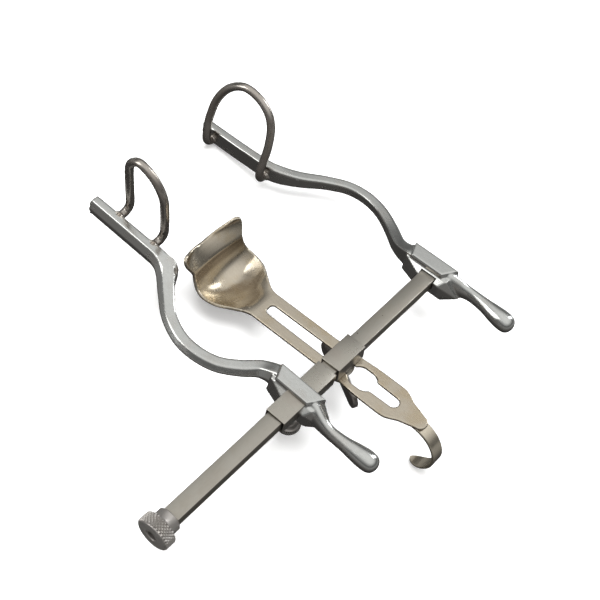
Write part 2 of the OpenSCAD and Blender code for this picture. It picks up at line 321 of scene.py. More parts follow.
def forge(obj, grid, passes):
    """Fuses overlapping parts into one seamless surface with softened edges."""
    remesh = obj.modifiers.new("Fuse", "REMESH")
    remesh.mode = "VOXEL"
    remesh.voxel_size = grid
    soften = obj.modifiers.new("Soften", "SMOOTH")
    soften.factor = 0.5
    soften.iterations = passes
    return settle(obj)


def bevel(obj, width, segments=3):
    cut = obj.modifiers.new("Bevel", "BEVEL")
    cut.width = width
    cut.segments = segments
    cut.limit_method = "ANGLE"
    cut.angle_limit = math.radians(40)
    weight = obj.modifiers.new("Flats", "WEIGHTED_NORMAL")
    weight.keep_sharp = True
    return settle(obj)


def cut_away(obj, *parts):
    """Takes closed parts out of an object."""
    tool = mesh_object("cutter", *parts)
    cut = obj.modifiers.new("Cut", "BOOLEAN")
    cut.operation = "DIFFERENCE"
    cut.solver = "EXACT"
    cut.object = tool
    settle(obj)
    bpy.data.objects.remove(tool)
    return obj


def join(obj, *others):
    """Adds other objects' meshes to one object's, and removes them."""
    bm = bmesh.new()
    for o in (obj, *others):
        bm.from_mesh(o.data)
    bm.to_mesh(obj.data)
    bm.free()
    for o in others:
        bpy.data.objects.remove(o)
    return obj


def place(obj, matrix, body, slot, material, *nodes, sharp=35):
    """Lays a finished piece on the table, gives it its metal and lets it ride on its body."""
    obj.data.transform(matrix)
    obj.data.shade_smooth()
    if sharp:
        obj.data.set_sharp_from_angle(angle=math.radians(sharp))
    obj.data.materials.clear()
    obj.data.materials.append(material)
    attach(obj, body)
    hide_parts(*nodes)
    return obj


# ---------------------------------------------------------------- effects that the metals share

def new_group(name, inputs, outputs):
    group = bpy.data.node_groups.new(name, "ShaderNodeTree")
    for label, kind, value in inputs:
        socket = group.interface.new_socket(label, in_out="INPUT", socket_type=kind)
        socket.default_value = value
    for label, kind in outputs:
        group.interface.new_socket(label, in_out="OUTPUT", socket_type=kind)
    return group, group.nodes.new("NodeGroupInput"), group.nodes.new("NodeGroupOutput")


def map_range(tree, value, low, high, to_low=0.0, to_high=1.0, kind="SMOOTHSTEP"):
    """Clamped ramp; low and high may be numbers or sockets."""
    node = tree.nodes.new("ShaderNodeMapRange")
    node.interpolation_type = kind
    tree.links.new(value, node.inputs["Value"])
    for label, given in (("From Min", low), ("From Max", high), ("To Min", to_low), ("To Max", to_high)):
        if isinstance(given, (int, float)):
            node.inputs[label].default_value = given
        else:
            tree.links.new(given, node.inputs[label])
    return node.outputs["Result"]


def grain_group():
    """Fine scratches that run one way: Stretch is the scale along each axis."""
    tree, given, out = new_group(
        "surface_grain",
        [("Stretch", "NodeSocketVector", (1, 1, 1)), ("Scale", "NodeSocketFloat", 900.0)],
        [("Value", "NodeSocketFloat")],
    )
    where = tree.nodes.new("ShaderNodeTexCoord")
    turn = tree.nodes.new("ShaderNodeMapping")
    noise = tree.nodes.new("ShaderNodeTexNoise")
    noise.inputs["Detail"].default_value = 4.0
    tree.links.new(where.outputs["Object"], turn.inputs["Vector"])
    tree.links.new(given.outputs["Stretch"], turn.inputs["Scale"])
    tree.links.new(turn.outputs["Vector"], noise.inputs["Vector"])
    tree.links.new(given.outputs["Scale"], noise.inputs["Scale"])
    tree.links.new(noise.outputs["Fac"], out.inputs["Value"])
    return tree


def patches_group():
    """Cloudy stains: a mask that rises between Low and High."""
    tree, given, out = new_group(
        "stain_patches",
        [
            ("Scale", "NodeSocketFloat", 60.0), ("Low", "NodeSocketFloat", 0.45),
            ("High", "NodeSocketFloat", 0.7),
        ],
        [("Mask", "NodeSocketFloat")],
    )
    where = tree.nodes.new("ShaderNodeTexCoord")
    noise = tree.nodes.new("ShaderNodeTexNoise")
    noise.inputs["Detail"].default_value = 5.0
    noise.inputs["Roughness"].default_value = 0.6
    tree.links.new(where.outputs["Object"], noise.inputs["Vector"])
    tree.links.new(given.outputs["Scale"], noise.inputs["Scale"])
    mask = map_range(tree, noise.outputs["Fac"], given.outputs["Low"], given.outputs["High"])
    tree.links.new(mask, out.inputs["Mask"])
    return tree


def pits_group():
    """Scattered small pits: Size is a pit's radius as a share of the spacing."""
    tree, given, out = new_group(
        "corrosion_pits",
        [
            ("Scale", "NodeSocketFloat", 500.0), ("Size", "NodeSocketFloat", 0.16),
            ("Cover", "NodeSocketFloat", 0.62),
        ],
        [("Mask", "NodeSocketFloat")],
    )
    where = tree.nodes.new("ShaderNodeTexCoord")
    cells = tree.nodes.new("ShaderNodeTexVoronoi")
    noise = tree.nodes.new("ShaderNodeTexNoise")
    noise.inputs["Scale"].default_value = 90.0
    edge = tree.nodes.new("ShaderNodeMath")
    edge.operation = "MULTIPLY"
    edge.inputs[1].default_value = 0.5
    both = tree.nodes.new("ShaderNodeMath")
    both.operation = "MULTIPLY"
    top = tree.nodes.new("ShaderNodeMath")
    top.inputs[1].default_value = 0.05
    tree.links.new(where.outputs["Object"], cells.inputs["Vector"])
    tree.links.new(where.outputs["Object"], noise.inputs["Vector"])
    tree.links.new(given.outputs["Scale"], cells.inputs["Scale"])
    tree.links.new(given.outputs["Size"], edge.inputs[0])
    tree.links.new(given.outputs["Cover"], top.inputs[0])
    spot = map_range(tree, cells.outputs["Distance"], given.outputs["Size"], edge.outputs["Value"])
    here = map_range(tree, noise.outputs["Fac"], given.outputs["Cover"], top.outputs["Value"])
    tree.links.new(spot, both.inputs[0])
    tree.links.new(here, both.inputs[1])
    tree.links.new(both.outputs["Value"], out.inputs["Mask"])
    return tree


def edge_wear_and_corner_shade_group():
    """Edges rubbed bright, and inner corners darkened with dirt and painted shade."""
    tree, given, out = new_group(
        "edge_wear_and_corner_shade",
        [("Start", "NodeSocketFloat", 0.52), ("Full", "NodeSocketFloat", 0.60)],
        [("Edges", "NodeSocketFloat"), ("Dirty_shaded_corners", "NodeSocketFloat")],
    )
    shape = tree.nodes.new("ShaderNodeNewGeometry")
    edges = map_range(tree, shape.outputs["Pointiness"], given.outputs["Start"], given.outputs["Full"])
    corners = map_range(tree, shape.outputs["Pointiness"], 0.485, 0.43)
    tree.links.new(edges, out.inputs["Edges"])
    tree.links.new(corners, out.inputs["Dirty_shaded_corners"])
    return tree


def painted_side_shade_group():
    """Painted shade on walls and undersides: darker as the surface turns from facing up to facing sideways or
    down.
    """
    tree, given, out = new_group(
        "painted_side_shade",
        [("Unshaded_from", "NodeSocketFloat", 0.72), ("Shaded_below", "NodeSocketFloat", 0.15)],
        [("Mask", "NodeSocketFloat")],
    )
    shape = tree.nodes.new("ShaderNodeNewGeometry")
    split = tree.nodes.new("ShaderNodeSeparateXYZ")
    tree.links.new(shape.outputs["Normal"], split.inputs["Vector"])
    mask = map_range(tree, split.outputs["Z"], given.outputs["Unshaded_from"], given.outputs["Shaded_below"])
    tree.links.new(mask, out.inputs["Mask"])
    return tree


EFFECTS = {
    "surface_grain": grain_group,
    "stain_patches": patches_group,
    "corrosion_pits": pits_group,
    "edge_wear_and_corner_shade": edge_wear_and_corner_shade_group,
    "painted_side_shade": painted_side_shade_group,
}


def effect(tree, name, **values):
    """Places a shared effect in a material with its own values."""
    node = tree.nodes.new("ShaderNodeGroup")
    node.node_tree = bpy.data.node_groups.get(name) or EFFECTS[name]()
    for label, value in values.items():
        node.inputs[label].default_value = value
    return node.outputs


# ---------------------------------------------------------------- metals

def shade(value, factor):
    return [min(1.0, c * factor) for c in value] + [1.0]


def mix_colour(tree, mask, base, over, strength=1.0):
    """Lays a colour over another by a mask; base is a socket or a colour."""
    node = tree.nodes.new("ShaderNodeMix")
    node.data_type = "RGBA"
    factor = map_range(tree, mask, 0.0, 1.0, 0.0, strength)
    tree.links.new(factor, node.inputs["Factor"])
    if isinstance(base, bpy.types.NodeSocket):
        tree.links.new(base, node.inputs["A"])
    else:
        node.inputs["A"].default_value = base
    node.inputs["B"].default_value = over
    return node.outputs["Result"]


# Share of each colour that the painted shade leaves on a wall
SIDE_SHADE_SHARE = (0.45, 0.39, 0.36)


# side sets how strongly walls and undersides are darkened as painted shade
def metal(name, base, roughness, stretch=(1, 1, 1), grain=900.0, side=0.55, tint=None, pits=None,
          wear=0.55, stain=0.5, spread=0.10, relief=0.00002, corner_dirt_and_shade=0.8):
    """Worn metal: stains, painted shade on walls and undersides, pits, dirt and painted shade in inner
    corners, and bright edges over one base colour.
    """
    found = bpy.data.materials.get(name)
    if found:
        return found
    material = bpy.data.materials.new(name)
    material.use_nodes = True
    tree = material.node_tree
    shader = tree.nodes["Principled BSDF"]
    shader.inputs["Metallic"].default_value = 1.0
    grime_and_shade = list(finishes().grime_and_shade) + [1.0]
    tint = tint or shade(base, 0.8)
    patches = effect(tree, "stain_patches", Scale=75.0, Low=0.42, High=0.70)["Mask"]
    fine = effect(tree, "surface_grain", Stretch=stretch, Scale=grain)["Value"]
    wear_and_shade = effect(tree, "edge_wear_and_corner_shade")
    paint = mix_colour(tree, patches, shade(base, 1.0), tint, stain)
    paint = mix_colour(tree, fine, paint, shade(base, 0.72), 0.2)
    # Painted shade: walls and undersides made darker than the tops
    if side:
        shaded_walls = effect(tree, "painted_side_shade")["Mask"]
        paint = mix_colour(tree, shaded_walls, paint, shade([b * t for b, t in zip(base, SIDE_SHADE_SHARE)], 1.0), side)
    # Dirt and painted shade darken the inner corners
    paint = mix_colour(tree, wear_and_shade["Dirty_shaded_corners"], paint, grime_and_shade, corner_dirt_and_shade)
    if pits:
        marks = effect(tree, "corrosion_pits", Scale=pits[0], Size=pits[1], Cover=pits[2])["Mask"]
        paint = mix_colour(tree, marks, paint, grime_and_shade, 0.85)
    paint = mix_colour(tree, wear_and_shade["Edges"], paint, shade(base, 1.7), wear)
    tree.links.new(paint, shader.inputs["Base Color"])
    cloudy = map_range(tree, patches, 0.0, 1.0, roughness, roughness + spread)
    rough = tree.nodes.new("ShaderNodeMath")
    rough.operation = "ADD"
    tree.links.new(cloudy, rough.inputs[0])
    tree.links.new(map_range(tree, fine, 0.3, 0.7, -0.04, 0.06), rough.inputs[1])
    tree.links.new(rough.outputs["Value"], shader.inputs["Roughness"])
    bump = tree.nodes.new("ShaderNodeBump")
    bump.inputs["Strength"].default_value = 0.5
    bump.inputs["Distance"].default_value = relief
    tree.links.new(fine, bump.inputs["Height"])
    tree.links.new(bump.outputs["Normal"], shader.inputs["Normal"])
    return material


def arm_metal():
    return metal("satin_forging", finishes().arm_steel, 0.19, (1, 0.35, 1), 1400.0,
                 tint=shade((0.55, 0.53, 0.50), 1), wear=0.35, relief=0.00001)


def bar_metal():
    return metal("ground_bar", finishes().bar_steel, 0.34, (0.25, 1, 1), 1800.0,
                 tint=shade((0.37, 0.335, 0.28), 1), pits=(330.0, 0.13, 0.585), wear=0.8)


def clamp_metal():
    return metal("ground_clamp", finishes().bar_steel, 0.30, (1, 0.3, 1), 1700.0,
                 tint=shade((0.40, 0.35, 0.31), 1), wear=0.9)


def wire_metal():
    return metal("drawn_wire", finishes().wire_steel, 0.22, grain=700.0, side=0.3, wear=0.3,
                 tint=shade((0.38, 0.33, 0.29), 1))


def blade_metal():
    return metal("brushed_nickel", finishes().blade_nickel, 0.19, (1, 0.3, 1), 1300.0,
                 side=0.75, tint=shade((0.54, 0.44, 0.29), 1), pits=(800.0, 0.12, 0.60),
                 wear=0.8, stain=0.6)


def hook_metal():
    return metal("polished_strip", finishes().blade_nickel, 0.15, (1, 0.3, 1), 1300.0, side=0.5,
                 tint=shade((0.42, 0.36, 0.28), 1), wear=0.6)


def knurl_metal():
    return metal("knurled_steel", shade(finishes().knurl_steel, 1.3)[:3], 0.34, grain=1500.0,
                 tint=shade((0.20, 0.17, 0.15), 1), wear=0.9, corner_dirt_and_shade=1.0)


def dirt_metal():
    return metal("groove_dirt", shade(finishes().grime_and_shade, 1.6)[:3], 0.6, grain=1500.0, wear=0.0)


def dark_metal():
    return metal("dull_hardware", finishes().knurl_steel, 0.40, grain=1200.0, side=0.4, wear=0.5)


# ---------------------------------------------------------------- knurls, as Geometry Nodes

def knurl_tree():
    """Rows of four-sided points around a barrel about Z."""
    tree = bpy.data.node_groups.new("knurl_ring", "GeometryNodeTree")
    tree.interface.new_socket("Geometry", in_out="INPUT", socket_type="NodeSocketGeometry")
    for label, kind, value in (
        ("Radius", "NodeSocketFloat", 0.007), ("Length", "NodeSocketFloat", 0.005),
        ("Around", "NodeSocketInt", 40), ("Rows", "NodeSocketInt", 8),
        ("Width", "NodeSocketFloat", 0.0005), ("Height", "NodeSocketFloat", 0.0005),
        ("Depth", "NodeSocketFloat", 0.0003), ("Material", "NodeSocketMaterial", None),
    ):
        socket = tree.interface.new_socket(label, in_out="INPUT", socket_type=kind)
        if value is not None:
            socket.default_value = value
    tree.interface.new_socket("Geometry", in_out="OUTPUT", socket_type="NodeSocketGeometry")
    nodes, links = tree.nodes, tree.links
    given, out = nodes.new("NodeGroupInput").outputs, nodes.new("NodeGroupOutput")

    def math_node(operation, a, b=None):
        node = nodes.new("ShaderNodeMath")
        node.operation = operation
        for socket, value in zip(node.inputs, (a, b)):
            if isinstance(value, (int, float)):
                socket.default_value = value
            elif value is not None:
                links.new(value, socket)
        return node.outputs["Value"]

    count = math_node("MULTIPLY", given["Around"], given["Rows"])
    line = nodes.new("GeometryNodeMeshLine")
    links.new(count, line.inputs["Count"])
    index = nodes.new("GeometryNodeInputIndex").outputs["Index"]
    row = math_node("FLOOR", math_node("DIVIDE", math_node("ADD", index, 0.5), given["Around"]))
    column = math_node("SUBTRACT", index, math_node("MULTIPLY", row, given["Around"]))
    stagger = math_node("MULTIPLY", math_node("MODULO", row, 2.0), 0.5)
    around_share = math_node("DIVIDE", math_node("ADD", column, stagger), given["Around"])
    along_share = math_node("DIVIDE", math_node("ADD", row, 0.5), given["Rows"])
    turn = math_node("MULTIPLY", around_share, math.tau)
    height = math_node("MULTIPLY", along_share, given["Length"])
    outward = nodes.new("ShaderNodeCombineXYZ")
    links.new(math_node("COSINE", turn), outward.inputs["X"])
    links.new(math_node("SINE", turn), outward.inputs["Y"])
    place_at = nodes.new("ShaderNodeCombineXYZ")
    links.new(math_node("MULTIPLY", math_node("COSINE", turn), given["Radius"]), place_at.inputs["X"])
    links.new(math_node("MULTIPLY", math_node("SINE", turn), given["Radius"]), place_at.inputs["Y"])
    links.new(height, place_at.inputs["Z"])
    set_place = nodes.new("GeometryNodeSetPosition")
    links.new(line.outputs["Mesh"], set_place.inputs["Geometry"])
    links.new(place_at.outputs["Vector"], set_place.inputs["Position"])
    point = nodes.new("GeometryNodeMeshCone")
    point.inputs["Vertices"].default_value = 4
    point.inputs["Radius Top"].default_value = 0.0
    point.inputs["Radius Bottom"].default_value = 1.0
    point.inputs["Depth"].default_value = 1.0
    spin = nodes.new("FunctionNodeAxesToRotation")
    spin.primary_axis, spin.secondary_axis = "Z", "Y"
    links.new(outward.outputs["Vector"], spin.inputs["Primary Axis"])
    spin.inputs["Secondary Axis"].default_value = (0, 0, 1)
    size = nodes.new("ShaderNodeCombineXYZ")
    links.new(given["Width"], size.inputs["X"])
    links.new(given["Height"], size.inputs["Y"])
    links.new(given["Depth"], size.inputs["Z"])
    scatter = nodes.new("GeometryNodeInstanceOnPoints")
    links.new(set_place.outputs["Geometry"], scatter.inputs["Points"])
    links.new(point.outputs["Mesh"], scatter.inputs["Instance"])
    links.new(spin.outputs["Rotation"], scatter.inputs["Rotation"])
    links.new(size.outputs["Vector"], scatter.inputs["Scale"])
    real = nodes.new("GeometryNodeRealizeInstances")
    links.new(scatter.outputs["Instances"], real.inputs["Geometry"])
    paint = nodes.new("GeometryNodeSetMaterial")
    links.new(real.outputs["Geometry"], paint.inputs["Geometry"])
    links.new(given["Material"], paint.inputs["Material"])
    links.new(paint.outputs["Geometry"], out.inputs["Geometry"])
    return tree


def knurl(name, matrix, body, slot, **values):
    """Knurl points as one plain mesh that rides with its barrel; values are the tree's inputs."""
    tree = bpy.data.node_groups.get("knurl_ring") or knurl_tree()
    obj = mesh_object(name, box_part(0, 1, 0, 1, 0, 1))
    ring = obj.modifiers.new("Knurl", "NODES")
    ring.node_group = tree
    named = {s.name: s.identifier for s in tree.interface.items_tree if s.in_out == "INPUT"}
    for label, value in values.items():
        ring[named[label]] = value
    ring[named["Material"]] = knurl_metal()
    settle(obj)
    obj.data.transform(matrix)
    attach(obj, body)
    return obj


def groove_dirt(name, axis, body, radius, low, high):
    """Dark dirt that shows between the knurls."""
    band = [(radius - 0.3, low), (radius + 0.03, low), (radius + 0.03, high), (radius - 0.3, high)]
    place(mesh_object(name, ring_part(band)), axis, body, "knurled_steel", dirt_metal())


# ---------------------------------------------------------------- forged arms

# Rows of each arm's route from boss to bar tip: outwards, along, top, width, height
FIXED_ARM = [
    (0, 4, 2.8, 7.2, 12.6), (0, 12, 2.4, 6.8, 10.4), (2.2, 20.5, -0.8, 6, 7), (8.6, 30, -3.2, 5.6, 5.8),
    (13.4, 39.5, -4, 5.4, 5.2), (15.3, 49, -4.2, 5.4, 5.2), (14, 58.5, -4.2, 5.4, 5.2),
    (8.6, 68, -3.6, 5.6, 5.6), (1.4, 76.4, -2, 6, 6.6), (-4.2, 84, 0.4, 6, 8.2), (-6, 90, 1, 5.4, 9),
    (-6.3, 98, 1, 5.2, 9), (-6.5, 108, 1, 5.1, 9), (-6.5, 125.6, 1, 4.9, 9), (-6.5, 126.8, 0.7, 4.3, 8.4),
    (-6.5, 127.4, 0, 2.8, 6.6),
]
SLIDING_ARM = [
    (0, 4, 2.8, 7.2, 12.6), (0, 12, 2.4, 6.8, 10.4), (1.6, 19.4, -0.6, 6.2, 7), (6.6, 26, -2.6, 6, 5.8),
    (11.6, 34, -3.6, 5.8, 5.4), (13.8, 43.5, -4, 5.8, 5.2), (13.2, 53, -4, 5.8, 5.2),
    (9, 63, -3.6, 5.8, 5.6), (1.8, 71.6, -2.4, 6.6, 6.6), (-4.4, 78.4, -0.6, 7.6, 8),
    (-6.2, 84.6, 0.8, 6.2, 9), (-6.2, 92, 1, 5.3, 9), (-6.2, 106, 1, 5.1, 9), (-6.2, 121.1, 1, 4.9, 9),
    (-6.2, 122.3, 0.7, 4.3, 8.4), (-6.2, 122.9, 0, 2.8, 6.6),
]
# Rows of the grip's route: outwards, along, centre height, width, height
GRIP = [
    (0, -4, -3.8, 7.4, 13.2), (0.5, -8, -4, 7, 12.6), (1.4, -11.4, -4.3, 6.2, 10.6),
    (2.2, -15, -4.6, 5.2, 8.2), (2.6, -19, -4.7, 5, 7), (2.3, -25, -4.7, 5.8, 7), (1.8, -30, -4.8, 7.4, 7.8),
    (1.4, -34.6, -4.9, 8.5, 8.6), (1.2, -38.2, -5, 8.1, 8.1), (1.2, -40.1, -5, 5.8, 5.8),
    (1.2, -41, -5, 2.4, 2.4),
]

def arm_section(width, height):
    """Half-bevelled bar section: flat inner face and top, a ridge, and an outer face that falls away."""
    c = 0.12 * width
    return [
        (-width / 2, -c), (-width / 2 + 0.3 * c, -0.3 * c), (-width / 2 + c, 0), (0.18 * width, 0),
        (0.27 * width, -0.04 * height), (0.5 * width + 0.3, -0.46 * height),
        (0.5 * width + 0.3, -0.6 * height), (0.36 * width, -height + c), (0.24 * width, -height),
        (-width / 2 + c, -height), (-width / 2, -height + c),
    ]


def arm_part(side):
    """Swept arm and blade bar; side is 1 for the fixed arm and -1 for the sliding one."""
    rows = [(side * q[0], *q[1:]) for q in smooth(FIXED_ARM if side > 0 else SLIDING_ARM, 10)]
    rings = []
    for i, (x, y, top, width, height) in enumerate(rows):
        ahead = heading([(q[0], q[1], 0) for q in rows], i)
        across = Vector((ahead.y, -ahead.x, 0)) * side
        rings.append([
            tuple(Vector((x, y, top)) + across * a + Vector((0, 0, b)))
            for a, b in arm_section(width, height)
        ])
    return skin(rings)


def gusset_part():
    """Inner corner where the sliding arm turns into its blade bar."""
    rim = [
        (1.6, 71, -2.5), (4.4, 72.3, -2.4), (8, 74.4, -1.5), (9.7, 77.8, -0.4), (9.2, 81.6, 0.4),
        (8.5, 86, 0.9), (5, 84, 0.8), (3, 77, -0.8),
    ]
    return hull_part(rim + [(p[0], p[1], -7.6) for p in rim])


def grip_part(side):
    turns = [math.tau * k / 28 for k in range(28)]
    return skin([
        [(side * x + width / 2 * math.cos(a), y, z + height / 2 * math.sin(a)) for a in turns]
        for x, y, z, width, height in smooth(GRIP, 6)
    ])


def boss_parts():
    """Narrow plank over the bar, its ends cut slantwise, and the hub that bulges towards the knob."""
    face, edge = PLANK - 0.5, PLANK
    plank = hull_part(
        [(x, y, BOSS_TOP) for x, y in ((-face, -5), (face, -9), (face, 13.4), (-face, 10.6))]
        + [(x, y, BOSS_TOP - 1) for x, y in ((-edge, -5.4), (edge, -9.6), (edge, 13.8), (-edge, 10.8))]
        + slab((-edge, edge), (-8, 9), -BOSS_LOW)
    )
    hub = hull_part(
        slab((-PLANK, PLANK), (-8.6, 8), 1)
        + slab((-HUB_OUT, PLANK), (-6.4, 4.4), -1.4)
        + slab((-HUB_OUT, PLANK), (-6.6, 6.6), -8)
        + slab((-HUB_OUT + 2.2, PLANK - 1.2), (-8, 5.6), -BOSS_LOW)
        + [(-1.6, -14.5, -7.4), (2.6, -15, -8)]
        + [(-3.8, 13, 1), (-4.8, 13.4, -7.6), (3, 15, -7.6), (3, 14.6, 1)]
    )
    return [plank, hub]


def forged_arm(name, side):
    parts = boss_parts() + [arm_part(side), grip_part(side)]
    if side < 0:
        parts.append(gusset_part())
    return forge(mesh_object(name, *parts), mm(sizes().forging_grid), 3)


def sleeve_sizes():
    """Width and thickness of the sleeve outside, then of its bore."""
    s = sizes()
    lift = lift_angle()
    width, thick, wall = mm(s.bar_width), mm(s.bar_thickness), mm(s.sleeve_wall)
    bore_w = width * math.cos(lift) + thick * math.sin(lift) + 0.2
    bore_t = thick * math.cos(lift) + width * math.sin(lift) + 0.2
    return bore_w + 2 * wall, bore_t + 2 * wall, bore_w, bore_t


def tube_part(length_x, width, thick, bore_w, bore_t, middle):
    """Square tube along X."""
    x = length_x / 2
    rings = [
        [(a, y * w / 2, middle + z * t / 2) for y, z in ((-1, -1), (1, -1), (1, 1), (-1, 1))]
        for a, w, t in ((-x, width, thick), (x, width, thick), (x, bore_w, bore_t), (-x, bore_w, bore_t))
    ]
    faces = []
    for i in range(4):
        for j in range(4):
            this, following, k = i * 4, ((i + 1) % 4) * 4, (j + 1) % 4
            faces.append((this + j, following + j, following + k, this + k))
    return [p for ring in rings for p in ring], faces


class PieceOperator:
    """What the operators share."""

    bl_options = {"REGISTER", "UNDO"}


class RETRACTOR_OT_crossbar(PieceOperator, Operator):
    """Flat crossbar with its turned-down stud"""

    bl_idname = "retractor.crossbar"
    bl_label = "Crossbar"

    def execute(self, context):
        s = sizes()
        half, thick, end = mm(s.bar_width) / 2, mm(s.bar_thickness), mm(s.bar_length)
        bar = bevel(mesh_object("flat_crossbar", box_part(0, end - 0.1, -half, half, -thick, 0)), 0.35)
        along = Matrix.Translation((0, 0, bar_middle())) @ Matrix.Rotation(math.pi / 2, 4, "Y")
        stud = moved(lathe([(1.7, -5.9), (1.75, -5.6), (1.75, 1)], 32), along)
        join(bar, mesh_object("stud", stud))
        place(bar, on_table(), "frame", "satin_steel", bar_metal(), "crossbar")
        return {"FINISHED"}


class RETRACTOR_OT_end_knob(PieceOperator, Operator):
    """Knurled knob on the end of the crossbar"""

    bl_idname = "retractor.end_knob"
    bl_label = "End knob"

    def execute(self, context):
        s = sizes()
        radius, collar = mm(s.knob_diameter) / 2 - mm(s.knurl_depth), mm(s.collar_diameter) / 2
        base, top = mm(s.collar_length), mm(s.collar_length + s.knob_length)
        hole, stud, rounding, depth = mm(s.knob_hole) / 2, 1.86, 0.9, 4.2
        profile = [
            (stud, 0), (collar - 0.4, 0), (collar, 0.4), (collar, base - 0.3), (collar + 0.2, base),
            (radius - 0.5, base), (radius, base + 0.5), (radius, top - 0.6), (radius - 0.2, top - 0.25),
            (radius - rounding, top), (hole + 0.35, top), (hole, top - 0.35), (hole, top - depth),
            (stud, top - depth),
        ]
        start = Matrix.Translation((-0.3, 0, bar_middle()))
        axis = on_table() @ start @ Matrix.Rotation(-math.pi / 2, 4, "Y")
        barrel = mesh_object("knob_barrel", ring_part(profile, 96))
        place(barrel, axis, "knob", "knurled_steel", knurl_metal(), "end_knob")
        groove_dirt("knob_groove_dirt", axis, "knob", radius, base + 0.6, top - 0.75)
        rows = 6
        span = top - base - 1.2
        knurl(
            "knob_knurl", axis @ Matrix.Translation((0, 0, base + 0.55)), "knob", "knurled_steel",
            Radius=radius + 0.1, Length=span, Around=s.knurl_count, Rows=rows,
            Width=math.pi * radius / s.knurl_count * 1.02, Height=span / rows * 1.04,
            Depth=mm(s.knurl_depth) * 1.5,
        )
        return {"FINISHED"}


class RETRACTOR_OT_arms(PieceOperator, Operator):
    """The two forged arms, each with its boss, finger grip and blade bar"""

    bl_idname = "retractor.arms"
    bl_label = "Forged arms"

    def execute(self, context):
        middle, press, play = bar_middle(), 0.02, 0.35
        width, thick = (size / 2 - press for size in sleeve_sizes()[:2])
        hole = lathe([(SHANK_HOLE, -BOSS_LOW - 2), (SHANK_HOLE, -6)], 32)
        sliding = forged_arm("sliding_arm_forging", -1)
        cut_away(
            sliding,
            box_part(-20, 20, -width, width, middle - thick, middle + thick),
            moved(hole, Matrix.Translation((-SCREW_OFF, 0, 0))),
        )
        place(sliding, on_slide(), "sliding_arm", "satin_steel", arm_metal(), "left_arm")
        fixed = forged_arm("fixed_arm_forging", 1)
        half = mm(sizes().bar_width) / 2 + play
        cut_away(fixed, box_part(-20, -2, -half, half, 2 * middle - play, play))
        place(fixed, on_fixed_arm(), "frame", "satin_steel", arm_metal(), "right_arm")
        return {"FINISHED"}


class RETRACTOR_OT_sleeve(PieceOperator, Operator):
    """Square sleeve that the sliding arm runs on"""

    bl_idname = "retractor.sleeve"
    bl_label = "Sliding sleeve"

    def execute(self, context):
        play = 0.5
        width, thick, bore_w, bore_t = sleeve_sizes()
        part = tube_part(mm(sizes().sleeve_length), width, thick, bore_w + play, bore_t + play, bar_middle())
        sleeve = bevel(mesh_object("square_sleeve", part), 0.22)
        place(sleeve, on_slide(), "sliding_arm", "satin_steel", clamp_metal(), "left_sleeve")
        return {"FINISHED"}


def wire_part(rows, diameter, steps=8, sides=24):
    path = smooth(rows, steps)
    rings = []
    for i, p in enumerate(path):
        ahead = heading(path, i)
        e = ahead.cross(Vector((1, 1, -1))).normalized()
        f = ahead.cross(e)
        rings.append([
            tuple(Vector(p) + diameter / 2 * (e * math.cos(a) + f * math.sin(a)))
            for a in (math.tau * k / sides for k in range(sides))
        ])
    return skin(rings)


def braze_part(point, toward):
    """Low collar of braze where a wire enters a bar's side; toward is the X direction away from the bar."""
    profile = [(0.6, -0.6), (2.8, -0.5), (2.6, 0.0), (2.3, 0.35), (1.98, 0.9), (0.6, 0.95)]
    turn = Matrix.Rotation(math.pi / 2 * toward, 4, "Y")
    return moved(lathe(profile, 32), Matrix.Translation(point) @ turn)


def left_wire_rows():
    x, low, top = 8.6, -0.6, 36
    return [
        (x - 1.6, 109.4, low), (x + 1.4, 109.4, low), (x + 3.9, 109.3, low + 0.9),
        (x + 5.3, 109.1, low + 3.8),
        (x + 5.2, 109.1, 8), (x + 4.6, 109.2, 15), (x + 3.8, 109.4, 27), (x + 3.2, 108, top - 3),
        (x + 3, 104, top + 1.2), (x + 3, 99, top + 0.8), (x + 3.2, 93.8, top - 2.6), (x + 3.6, 90, top - 9),
        (x + 4.2, 89, 18), (x + 4.8, 88.8, 9), (x + 5.1, 89, low + 4.2), (x + 3.8, 89.3, low + 1),
        (x + 1.4, 89.5, low), (x - 1.6, 89.6, low),
    ]


def right_wire_rows():
    x, low, top = -8.6, -5.4, 40
    return [
        (x + 1.6, 121, low), (x - 0.8, 121, low), (x - 3, 121, low + 1), (x - 4.2, 121, low + 3.8),
        (x - 4, 121, 4), (x - 3, 120.8, 11), (x - 1.2, 118.6, 22), (x + 0.6, 113.6, 31),
        (x + 2, 106.4, top - 4.2), (x + 2.6, 99, top - 5.2), (x + 2, 92.6, top - 8.8), (x + 0.8, 89, 25.4),
        (x - 1, 87.8, 17),
        (x - 2.8, 88.2, 8), (x - 4, 88.8, 2), (x - 4, 89.1, low + 3.6), (x - 3, 89.3, low + 1),
        (x - 0.8, 89.4, low), (x + 1.6, 89.4, low),
    ]


class RETRACTOR_OT_wire_blades(PieceOperator, Operator):
    """Bent wire blades brazed to the arms' bars"""

    bl_idname = "retractor.wire_blades"
    bl_label = "Wire blades"

    def execute(self, context):
        diameter = mm(sizes().wire_diameter)
        for name, rows, side, spot, body, node in (
            ("sliding_wire_blade", left_wire_rows(), 1, on_slide(), "sliding_arm", "left_wire_blade"),
            ("fixed_wire_blade", right_wire_rows(), -1, on_fixed_arm(), "frame", "right_wire_blade"),
        ):
            brazes = [braze_part((side * BAR_FACE, y, z), side) for _, y, z in (rows[0], rows[-1])]
            wire = mesh_object(name, wire_part(rows, diameter), *brazes)
            place(wire, spot, body, "satin_steel", wire_metal(), node, sharp=50)
        return {"FINISHED"}


